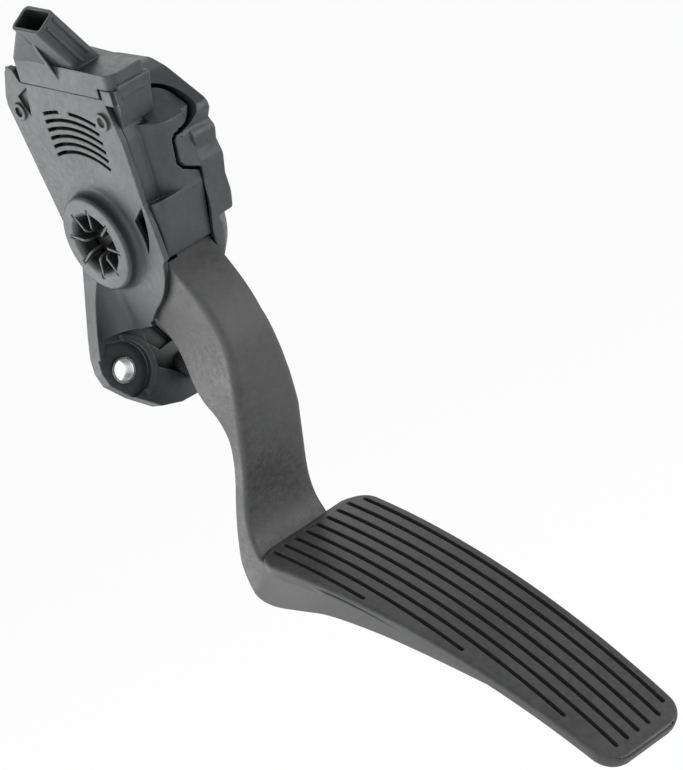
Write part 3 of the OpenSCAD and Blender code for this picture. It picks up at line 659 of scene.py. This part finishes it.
def groove_tree(material):
    """Cuts evenly spaced grooves into the curved tread."""
    inputs = [
        ("Pad", "NodeSocketGeometry", None),
        ("Grooves", "NodeSocketInt", 9),
        ("First groove", "NodeSocketFloat", 10.0),
        ("Pitch", "NodeSocketFloat", 5.72),
        ("Width", "NodeSocketFloat", 2.0),
        ("Depth", "NodeSocketFloat", 1.6),
        ("Upper end", "NodeSocketFloat", 4.0),
        ("First length", "NodeSocketFloat", 55.0),
        ("Length step", "NodeSocketFloat", 48.0),
        ("Full length", "NodeSocketFloat", 173.0),
        ("Corner inset", "NodeSocketFloat", 3.5),
    ]
    outputs = [("Pad", "NodeSocketGeometry")]
    tree, given, put = open_group("Tread grooves", "GeometryNodeTree", inputs, outputs)
    line = add(tree, "GeometryNodeMeshLine", {"Count": given.outputs["Grooves"]}, mode="OFFSET")
    start = add(tree, "ShaderNodeCombineXYZ", {"X": given.outputs["First groove"]})
    pace = add(tree, "ShaderNodeCombineXYZ", {"X": given.outputs["Pitch"]})
    tree.links.new(start.outputs[0], line.inputs["Start Location"])
    tree.links.new(pace.outputs[0], line.inputs["Offset"])
    strip = add(tree, "GeometryNodeCurvePrimitiveLine")
    strip.inputs["End"].default_value = (0.0, 1.0, 0.0)
    rows = {"Points": line.outputs[0], "Instance": strip.outputs[0]}
    rows = add(tree, "GeometryNodeInstanceOnPoints", rows)
    rows = add(tree, "GeometryNodeRealizeInstances", {0: rows.outputs[0]})
    rows = add(tree, "GeometryNodeResampleCurve", {"Curve": rows.outputs[0], "Count": 44})
    factor = add(tree, "GeometryNodeSplineParameter").outputs["Factor"]
    place = add(tree, "GeometryNodeInputPosition").outputs[0]
    x = add(tree, "ShaderNodeSeparateXYZ", {0: place}).outputs["X"]
    from_first = math_node(tree, "SUBTRACT", x, given.outputs["First groove"])
    number = math_node(tree, "DIVIDE", from_first, given.outputs["Pitch"])
    length = math_node(tree, "MULTIPLY", number, given.outputs["Length step"])
    length = math_node(tree, "ADD", length, given.outputs["First length"])
    length = math_node(tree, "MINIMUM", length, given.outputs["Full length"])
    # The groove beside the right edge stays clear of the pad's rounded corners
    last = math_node(tree, "SUBTRACT", given.outputs["Grooves"], 1.5)
    inset = math_node(tree, "GREATER_THAN", number, last)
    inset = math_node(tree, "MULTIPLY", inset, given.outputs["Corner inset"])
    upper = math_node(tree, "ADD", given.outputs["Upper end"], inset)
    reach = math_node(tree, "SUBTRACT", math_node(tree, "SUBTRACT", length, inset), upper)
    along = math_node(tree, "ADD", math_node(tree, "MULTIPLY", factor, reach), upper)
    angle = math_node(tree, "ADD", math_node(tree, "DIVIDE", along, TREAD_RADIUS), math.radians(TREAD_EDGE))
    down = math_node(tree, "MULTIPLY", math_node(tree, "SINE", angle), TREAD_RADIUS)
    up = math_node(tree, "MULTIPLY", math_node(tree, "COSINE", angle), TREAD_RADIUS)
    spot = add(
        tree,
        "ShaderNodeCombineXYZ",
        {
            "X": x,
            "Y": math_node(tree, "SUBTRACT", TREAD_CENTRE[0], down),
            "Z": math_node(tree, "ADD", up, TREAD_CENTRE[1]),
        },
    )
    bent = add(tree, "GeometryNodeSetPosition", {"Geometry": rows.outputs[0], "Position": spot.outputs[0]})
    upright = add(tree, "GeometryNodeSetCurveNormal", {"Curve": bent.outputs[0]})
    upright.mode = "Z_UP"
    shape = add(tree, "GeometryNodeCurvePrimitiveCircle", {"Radius": 1.0, "Resolution": 14})
    half = math_node(tree, "MULTIPLY", given.outputs["Width"], 0.5)
    oval = add(tree, "ShaderNodeCombineXYZ", {"X": half, "Y": given.outputs["Depth"], "Z": 1.0})
    shape = add(tree, "GeometryNodeTransform", {"Geometry": shape.outputs[0], "Scale": oval.outputs[0]})
    cutter = add(
        tree,
        "GeometryNodeCurveToMesh",
        {"Curve": upright.outputs[0], "Profile Curve": shape.outputs[0], "Fill Caps": True},
    )
    # Rounded ends
    first = add(tree, "GeometryNodeCurveEndpointSelection", {"Start Size": 1, "End Size": 1})
    ball = add(tree, "GeometryNodeMeshUVSphere", {"Segments": 12, "Rings": 8, "Radius": 1.0})
    size = add(tree, "ShaderNodeCombineXYZ", {"X": half, "Y": half, "Z": given.outputs["Depth"]})
    ends = add(
        tree,
        "GeometryNodeInstanceOnPoints",
        {
            "Points": bent.outputs[0],
            "Selection": first.outputs[0],
            "Instance": ball.outputs[0],
            "Scale": size.outputs[0],
        },
    )
    ends = add(tree, "GeometryNodeRealizeInstances", {0: ends.outputs[0]})
    both = add(tree, "GeometryNodeJoinGeometry")
    tree.links.new(cutter.outputs[0], both.inputs[0])
    tree.links.new(ends.outputs[0], both.inputs[0])
    to_part = add(tree, "GeometryNodeTransform", {"Geometry": both.outputs[0]})
    to_part.inputs["Translation"].default_value = PIVOT / 1000.0
    to_part.inputs["Scale"].default_value = (0.001, 0.001, 0.001)
    carve = add(tree, "GeometryNodeMeshBoolean", operation="DIFFERENCE", solver="EXACT")
    carve.inputs["Self Intersection"].default_value = True
    tree.links.new(given.outputs["Pad"], carve.inputs["Mesh 1"])
    tree.links.new(to_part.outputs[0], carve.inputs["Mesh 2"])
    real = add(tree, "GeometryNodeRealizeInstances", {0: carve.outputs[0]})
    painted = add(tree, "GeometryNodeSetMaterial", {"Geometry": real.outputs[0]})
    painted.inputs["Material"].default_value = material
    tree.links.new(painted.outputs[0], put.inputs["Pad"])
    return tree


def set_input(modifier, title, value):
    """Sets a modifier's input by its socket's identifier."""
    for item in modifier.node_group.interface.items_tree:
        if item.item_type == "SOCKET" and item.in_out == "INPUT" and item.name == title:
            modifier[item.identifier] = value
            return
    raise ValueError(f"the tree has no input named {title}")


# Settings


class PedalSizes(bpy.types.PropertyGroup):
    """Sizes of the rounded spring cover, the springs, the arm and its tread."""

    cover_edge: FloatProperty(
        name="Cover edge", description="Rounding of the cover's edges", default=0.0004, unit="LENGTH"
    )
    cover_corner: FloatProperty(
        name="Cover corner", description="Rounding of the cover's outline", default=0.0018, unit="LENGTH"
    )
    spring_pressed: FloatProperty(
        name="Spring pressed",
        description="Share of the springs' length left at full travel",
        default=0.82,
        min=0.5,
        max=1,
    )
    arm_rounding: FloatProperty(
        name="Arm rounding",
        description="Scale of the arm's rounded front edges",
        default=1.0,
        min=0.3,
        max=1.4,
    )
    pad_width: FloatProperty(
        name="Pad width", description="Width of the pad at its upper end", default=0.058, unit="LENGTH"
    )
    pad_foot_width: FloatProperty(
        name="Pad foot width", description="Width of the pad at its lower end", default=0.042, unit="LENGTH"
    )
    pad_thickness: FloatProperty(
        name="Pad thickness", description="Thickness of the curved plate", default=0.005, unit="LENGTH"
    )
    grooves: IntProperty(
        name="Grooves", description="Number of grooves in the tread", default=9, min=1, max=9
    )
    groove_pitch: FloatProperty(
        name="Groove pitch", description="Distance from groove to groove", default=0.00572, unit="LENGTH"
    )
    groove_width: FloatProperty(
        name="Groove width", description="Width of a groove at the surface", default=0.002, unit="LENGTH"
    )
    groove_depth: FloatProperty(
        name="Groove depth", description="Depth of a groove at its middle", default=0.0016, unit="LENGTH"
    )


class PedalFinishes(bpy.types.PropertyGroup):
    """Colours and sheen of the finishes."""

    moulding: FloatVectorProperty(
        name="Moulding",
        description="Colour of the black mouldings",
        default=(0.05, 0.0515, 0.0505),
        size=3,
        subtype="COLOR",
    )
    moulding_roughness: FloatProperty(
        name="Moulding roughness",
        description="How matt the mouldings are",
        default=0.5,
        min=0,
        max=1,
        subtype="FACTOR",
    )
    bearing: FloatVectorProperty(
        name="Bearing",
        description="Colour of bushes and seats",
        default=(0.72, 0.69, 0.61),
        size=3,
        subtype="COLOR",
    )
    steel: FloatVectorProperty(
        name="Steel",
        description="Colour of sleeves, washer and screws",
        default=(0.68, 0.68, 0.69),
        size=3,
        subtype="COLOR",
    )


class PedalStage(bpy.types.PropertyGroup):
    """Light and floor of the stage."""

    lamp_strength: FloatProperty(
        name="Lamp strength", description="Scale of all lamps", default=1.0, min=0, max=4
    )
    floor_drop: FloatProperty(
        name="Floor drop", description="Height of the pedal above the floor", default=0.3, unit="LENGTH"
    )
    floor: FloatVectorProperty(
        name="Floor", description="Colour of the floor", default=(0.9, 0.9, 0.9), size=3, subtype="COLOR"
    )


# Finishes of the small parts: name, colour, colour of scuffed and painted-highlight edges, roughness,
# metallic, edge radius, grain, bump
SMALL_FINISHES = [
    ("Spring steel", (0.42, 0.42, 0.43), (0.6, 0.6, 0.6), 0.32, 1.0, 0.0001, 1500.0, 0.05),
    ("Stop rubber", (0.02, 0.02, 0.02), (0.05, 0.05, 0.05), 0.75, 0.0, 0.0006, 900.0, 0.3),
    ("Magnet nickel", (0.5, 0.49, 0.46), (0.6, 0.6, 0.6), 0.3, 1.0, 0.0002, 1500.0, 0.03),
    ("Board mask", (0.02, 0.13, 0.05), (0.3, 0.25, 0.12), 0.3, 0.0, 0.0001, 600.0, 0.04),
    ("Chip resin", (0.015, 0.015, 0.016), (0.05, 0.05, 0.05), 0.55, 0.0, 0.0001, 1500.0, 0.1),
    ("Contact tin", (0.75, 0.7, 0.6), (0.8, 0.62, 0.3), 0.25, 1.0, 0.0001, 1500.0, 0.03),
]
# The CAD parts that have each finish
COATS = {
    "Moulded black": ["housing", "front_cover", "spring_cover", "sensor_cap"],
    "Arm black": ["pedal_arm"],
    "Bearing acetal": ["bush_left", "bush_right", "spring_seat", "friction_shoe", "magnet_carrier"],
    "Plated steel": ["lower_sleeve", "upper_sleeve", "thrust_washer", "cover_screws"],
    "Spring steel": ["outer_spring", "inner_spring"],
    "Stop rubber": ["idle_stop", "full_stop"],
    "Magnet nickel": ["magnets"],
    "Board mask": ["sensor_board"],
    "Chip resin": ["hall_chips", "board_parts"],
    "Contact tin": ["terminals"],
}


# Operators


class PEDAL_OT_finishes(bpy.types.Operator):
    """Make the finishes and coat the CAD parts with them"""

    bl_idname = "pedal.finishes"
    bl_label = "Coat the parts"

    def execute(self, context):
        look = context.scene.pedal_finishes
        edge_wear_and_highlight_group()
        cavity_shade_and_dust_group()
        grain_group()
        black = tuple(look.moulding)
        # Lighter colour for the edges, scuffing and painted highlight
        worn_and_highlight = tuple(c * WORN_AND_HIGHLIGHT_GAIN for c in black)
        cool = tuple(c * share for c, share in zip(black, COOL))
        rough = look.moulding_roughness
        bearing, steel = tuple(look.bearing), tuple(look.steel)
        finish_material(
            "Moulded black", cool, worn_and_highlight, rough - 0.06, radius=0.0009, bump=0.3, spread=0.16, reach=0.016
        )
        finish_material(
            "Arm black", black, worn_and_highlight, rough + 0.02, radius=0.0008, grain=1300.0, bump=0.5, spread=0.2
        )
        finish_material("Tread black", black, worn_and_highlight, rough, radius=0.0004, bump=0.3, specular=0.4, reach=0.006)
        finish_material("Bearing acetal", bearing, (0.8, 0.78, 0.72), 0.35, radius=0.0003, bump=0.05)
        finish_material("Plated steel", steel, (0.8, 0.8, 0.8), 0.26, metallic=1.0, radius=0.0002, bump=0.06)
        for small in SMALL_FINISHES:
            finish_material(*small)
        for name, nodes in COATS.items():
            for node in nodes:
                coat(CAD[node], bpy.data.materials[name])
        return {"FINISHED"}


class PEDAL_OT_cover(bpy.types.Operator):
    """Make a copy of the spring cover with rounded edges, which stands in for it"""

    bl_idname = "pedal.cover"
    bl_label = "Rounded spring cover"

    def execute(self, context):
        sizes = context.scene.pedal_sizes
        source = CAD["spring_cover"]
        cover = rounded_copy(source, "spring_cover_moulding", sizes.cover_edge, sizes.cover_corner)
        coat(cover, bpy.data.materials["Moulded black"])
        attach(cover, "housing_body")
        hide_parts("spring_cover")
        return {"FINISHED"}


class PEDAL_OT_springs(bpy.types.Operator):
    """Make copies of the coil springs, each with its own mesh, which stand in for them"""

    bl_idname = "pedal.springs"
    bl_label = "Coil springs"

    def execute(self, context):
        for node in ("outer_spring", "inner_spring"):
            coil = mesh_object(node + "_coil", merged_copy(CAD[node]), COIL_ANGLE)
            coat(coil, bpy.data.materials["Spring steel"])
            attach(coil, "housing_body")
            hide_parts(node)
            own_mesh(coil)
        return {"FINISHED"}


class PEDAL_OT_arm(bpy.types.Operator):
    """Build the arm with its rounded edges, ribbed back, hub and spring lever"""

    bl_idname = "pedal.arm"
    bl_label = "Arm"

    def execute(self, context):
        sizes = context.scene.pedal_sizes
        bm = bmesh.new()
        arm_loft(bm, sizes.arm_rounding)
        arm = mesh_object("arm_loft", bm)
        bm = bmesh.new()
        for cell in ARM_CELLS:
            for row in CELL_ROWS:
                prism(bm, cell, *row)
        prism(bm, HEAD_RECESS, *RECESS_WIDTH)
        cut(arm, mesh_object("cells", bm))
        bm = bmesh.new()
        for profile in (HUB, LEFT_JOURNAL, RIGHT_JOURNAL):
            lathe_x(bm, profile)
        prism(bm, LEVER_ROOT, *LEVER_ROOT_WIDTH)
        prism(bm, LEVER_TIP, *LEVER_TIP_WIDTH)
        hub = mesh_object("hub", bm)
        arm = finish_shading(join("arm_moulding", [arm, hub]), MOULDED_ANGLE)
        coat(arm, bpy.data.materials["Arm black"])
        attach(arm, "pedal")
        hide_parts("pedal_arm")
        return {"FINISHED"}


class PEDAL_OT_tread(bpy.types.Operator):
    """Build the curved pad and cut its grooves"""

    bl_idname = "pedal.tread"
    bl_label = "Grooved tread"

    def execute(self, context):
        sizes = context.scene.pedal_sizes
        bm = bmesh.new()
        pad_blank(bm, sizes)
        pad = mesh_object("pad_tread", bm)
        grooves = pad.modifiers.new("Grooves", "NODES")
        grooves.node_group = groove_tree(bpy.data.materials["Tread black"])
        set_input(grooves, "Grooves", sizes.grooves)
        set_input(grooves, "Pitch", sizes.groove_pitch * 1000)
        set_input(grooves, "Width", sizes.groove_width * 1000)
        set_input(grooves, "Depth", sizes.groove_depth * 1000)
        bake(pad)
        if len(pad.data.polygons) < FEWEST_PAD_FACES:
            raise RuntimeError("the grooves took the pad away")
        finish_shading(pad, MOULDED_ANGLE)
        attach(pad, "pedal")
        return {"FINISHED"}


class PEDAL_OT_stage(bpy.types.Operator):
    """Set the floor, lamps, world and camera"""

    bl_idname = "pedal.stage"
    bl_label = "Stage"

    def execute(self, context):
        stage = context.scene.pedal_stage
        scene = context.scene
        scene.view_settings.view_transform = "Standard"
        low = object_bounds()[0].z - stage.floor_drop
        bm = bmesh.new()
        place = Matrix.Translation((0, 4, low))
        bmesh.ops.create_grid(bm, x_segments=2, y_segments=2, size=FLOOR_HALF, matrix=place)
        floor = mesh_object("stage_floor", bm)
        coat(floor, floor_material(tuple(stage.floor)))
        floor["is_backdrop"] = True
        world(scene)
        for title, aim, distance, size, strength in LAMPS:
            lamp(title, Vector(aim), distance, size, strength * stage.lamp_strength)
        camera(scene)
        return {"FINISHED"}


# Title, direction that it shines from, distance, size, radiance
LAMPS = [
    ("Left rear softbox", (-0.62, 0.74, 0.0), 1.3, 1.5, 2.9),
    ("Left softbox", (-0.9, -0.3, 0.1), 1.6, 1.4, 1.6),
    ("Rear top softbox", (0.3, 0.6, 0.7), 1.6, 1.2, 1.7),
    ("Front fill", (0.6, -0.8, 0.05), 2.0, 1.6, 3.4),
]
# The point that all lamps face, in metres
LAMP_TARGET = Vector((0.02, -0.06, 0.0))
# Half the floor's side, the share of it that glows to the camera, and the strength of the even light
FLOOR_HALF = 12.0
FLOOR_GLOW = 0.94
EVEN_LIGHT = 0.5
# The photograph's camera: place and directions in the part's frame, focal length and height in pixels
CAMERA_PLACE = Vector((-0.83854, -1.51011, 0.34098))
CAMERA_RIGHT = Vector((0.72344, -0.5534, -0.41277))
CAMERA_UP = Vector((0.46339, -0.05397, 0.88451))
FOCAL_PIXELS = 4500.0
PICTURE_HEIGHT = 770.0
SENSOR_WIDTH = 36.0


def lamp(title, aim, distance, size, strength):
    """A square softbox. Its power is set from the brightness of its face."""
    data = bpy.data.lights.new(title, "AREA")
    data.shape = "SQUARE"
    data.size = size
    data.energy = strength * math.pi * size * size
    lamp_object = bpy.data.objects.new(title, data)
    bpy.context.scene.collection.objects.link(lamp_object)
    aim = aim.normalized()
    lamp_object.location = LAMP_TARGET + aim * distance
    lamp_object.rotation_mode = "QUATERNION"
    lamp_object.rotation_quaternion = (-aim).to_track_quat("-Z", "Y")
    lamp_object.visible_camera = False


def floor_material(colour):
    """A pale floor that reads white to the camera and in reflections, and still takes the shadow."""
    material = bpy.data.materials.new("Stage floor")
    material.use_nodes = True
    tree = material.node_tree
    tree.nodes.clear()
    matt = add(tree, "ShaderNodeBsdfDiffuse", {"Color": (*colour, 1.0)})
    white = add(tree, "ShaderNodeEmission", {"Color": WHITE, "Strength": 1.0})
    path = add(tree, "ShaderNodeLightPath")
    seen = math_node(tree, "MAXIMUM", path.outputs["Is Camera Ray"], path.outputs["Is Glossy Ray"])
    seen = math_node(tree, "MAXIMUM", seen, path.outputs["Is Transmission Ray"])
    blend = add(tree, "ShaderNodeMixShader", {0: math_node(tree, "MULTIPLY", seen, FLOOR_GLOW)})
    tree.links.new(matt.outputs[0], blend.inputs[1])
    tree.links.new(white.outputs[0], blend.inputs[2])
    out = add(tree, "ShaderNodeOutputMaterial")
    tree.links.new(blend.outputs[0], out.inputs["Surface"])
    return material


def world(scene):
    """Even soft light, and white where the camera looks past the floor."""
    made = bpy.data.worlds.new("Studio")
    scene.world = made
    made.use_nodes = True
    tree = made.node_tree
    tree.nodes.clear()
    soft = add(tree, "ShaderNodeBackground", {"Color": WHITE, "Strength": EVEN_LIGHT})
    white = add(tree, "ShaderNodeBackground", {"Color": WHITE, "Strength": 1.0})
    path = add(tree, "ShaderNodeLightPath")
    seen = math_node(tree, "MAXIMUM", path.outputs["Is Camera Ray"], path.outputs["Is Transmission Ray"])
    blend = add(tree, "ShaderNodeMixShader", {0: seen})
    tree.links.new(soft.outputs[0], blend.inputs[1])
    tree.links.new(white.outputs[0], blend.inputs[2])
    out = add(tree, "ShaderNodeOutputWorld")
    tree.links.new(blend.outputs[0], out.inputs["Surface"])


def camera(scene):
    """The photograph's view, found from its parallel edges."""
    data = bpy.data.cameras.new("Camera")
    data.sensor_fit = "AUTO"
    data.sensor_width = SENSOR_WIDTH
    data.lens = FOCAL_PIXELS * SENSOR_WIDTH / PICTURE_HEIGHT
    data.clip_start, data.clip_end = 0.05, 60.0
    made = bpy.data.objects.new("Camera", data)
    scene.collection.objects.link(made)
    back = CAMERA_RIGHT.cross(CAMERA_UP)
    turn = Matrix((CAMERA_RIGHT, CAMERA_UP, back)).transposed().to_4x4()
    made.matrix_world = Matrix.Translation(CAMERA_PLACE) @ turn
    scene.camera = made


class PEDAL_PT_panel(bpy.types.Panel):
    """Lists the steps that build the pedal"""

    bl_label = "Accelerator pedal"
    bl_idname = "PEDAL_PT_panel"
    bl_space_type = "VIEW_3D"
    bl_region_type = "UI"
    bl_category = "Pedal"

    def draw(self, context):
        for step in STEPS:
            self.layout.operator(step.bl_idname)
        for group in ("pedal_sizes", "pedal_finishes", "pedal_stage"):
            box = self.layout.box()
            settings = getattr(context.scene, group)
            for name in settings.bl_rna.properties.keys():
                if name not in ("rna_type", "name"):
                    box.prop(settings, name)


STEPS = [PEDAL_OT_finishes, PEDAL_OT_cover, PEDAL_OT_springs, PEDAL_OT_arm, PEDAL_OT_tread, PEDAL_OT_stage]
GROUPS = {"pedal_sizes": PedalSizes, "pedal_finishes": PedalFinishes, "pedal_stage": PedalStage}


def register():
    for group in GROUPS.values():
        bpy.utils.register_class(group)
    for step in STEPS:
        bpy.utils.register_class(step)
    bpy.utils.register_class(PEDAL_PT_panel)
    for name, group in GROUPS.items():
        setattr(bpy.types.Scene, name, PointerProperty(type=group))


def unregister():
    for name in GROUPS:
        delattr(bpy.types.Scene, name)
    bpy.utils.unregister_class(PEDAL_PT_panel)
    for step in reversed(STEPS):
        bpy.utils.unregister_class(step)
    for group in reversed(list(GROUPS.values())):
        bpy.utils.unregister_class(group)


def main():
    register()
    bpy.ops.pedal.finishes()
    bpy.ops.pedal.cover()
    bpy.ops.pedal.springs()
    bpy.ops.pedal.arm()
    bpy.ops.pedal.tread()
    bpy.ops.pedal.stage()


if __name__ == "__main__":
    main()
